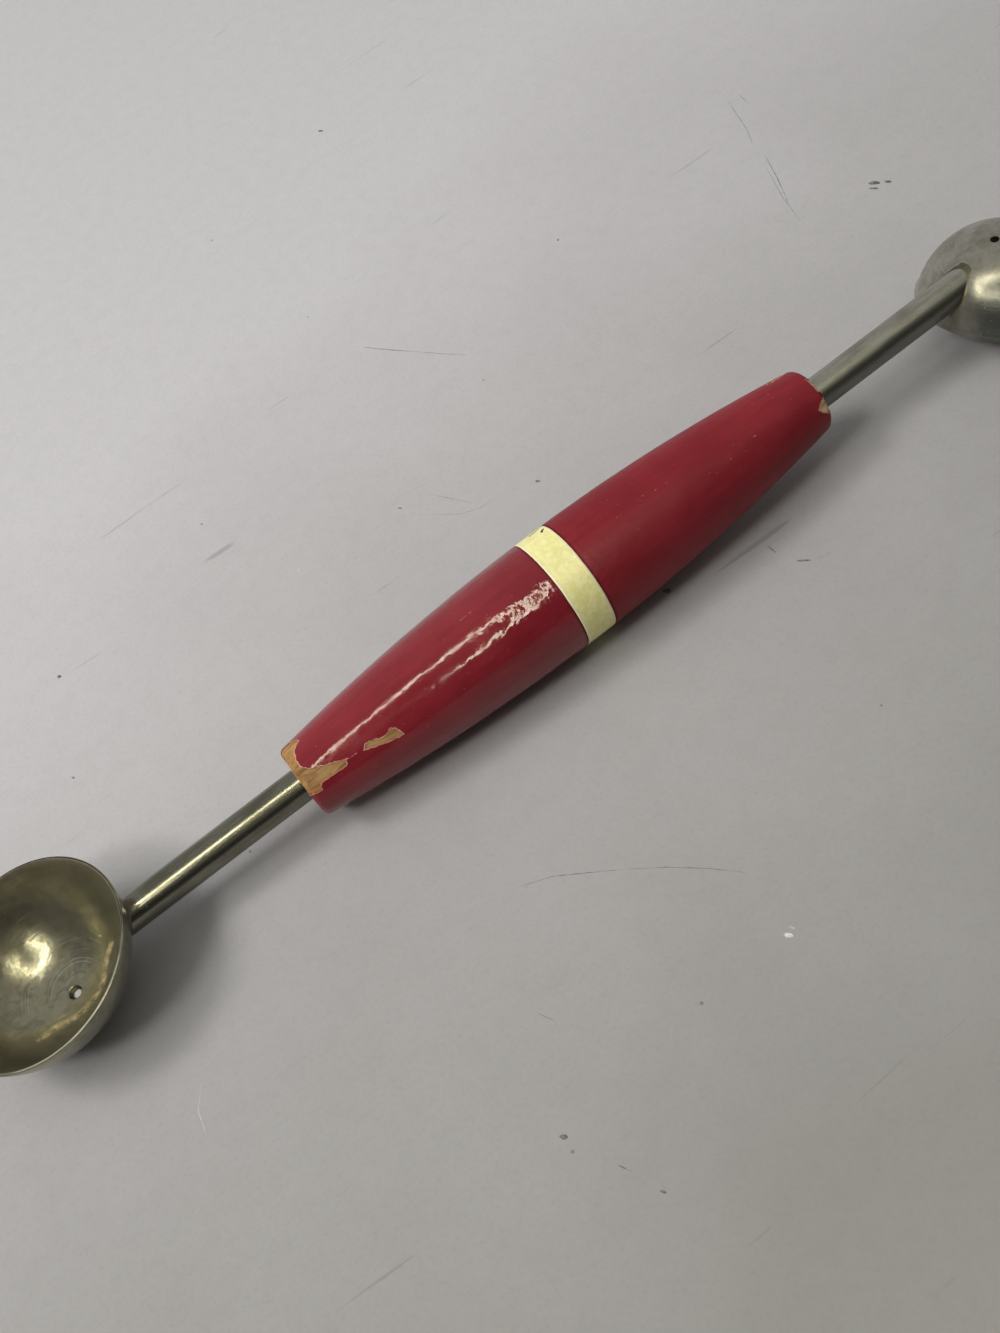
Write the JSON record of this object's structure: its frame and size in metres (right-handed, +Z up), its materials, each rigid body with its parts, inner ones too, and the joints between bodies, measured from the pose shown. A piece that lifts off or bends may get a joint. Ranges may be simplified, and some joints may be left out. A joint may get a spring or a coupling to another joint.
{
  "type": "melon baller",
  "caption": "Double-ended melon baller: a painted, belly-turned wooden handle with a round steel shank and a vented bowl at each end, the bowls facing opposite ways.",
  "frame": {"origin": "middle of the footprint, on the table that the tool lies on", "axes": "+X along the tool towards the small scoop, +Y across it away from the viewer, +Z up, the way the large scoop opens"},
  "size_m": [0.1878, 0.0286, 0.0169],
  "materials": {
    "turned_hardwood": "bare turned hardwood where the paint has chipped",
    "red_enamel": "glossy brushed enamel paint with fine orange peel",
    "cream_enamel": "glossy enamel paint, slightly mottled",
    "shank_steel": "drawn steel with worn plating",
    "scoop_metal": "plated sheet metal, satin with olive tarnish",
    "braze_metal": "dull brass-coloured filler"
  },
  "bodies": {
    "root": {"wooden_handle": "turned_hardwood", "red_paint_large_end": "red_enamel", "red_paint_small_end": "red_enamel", "cream_band": "cream_enamel", "large_shank": "shank_steel", "small_shank": "shank_steel", "large_scoop": "scoop_metal", "small_scoop": "scoop_metal", "large_braze": "braze_metal", "small_braze": "braze_metal"}
  },
  "joints": []
}
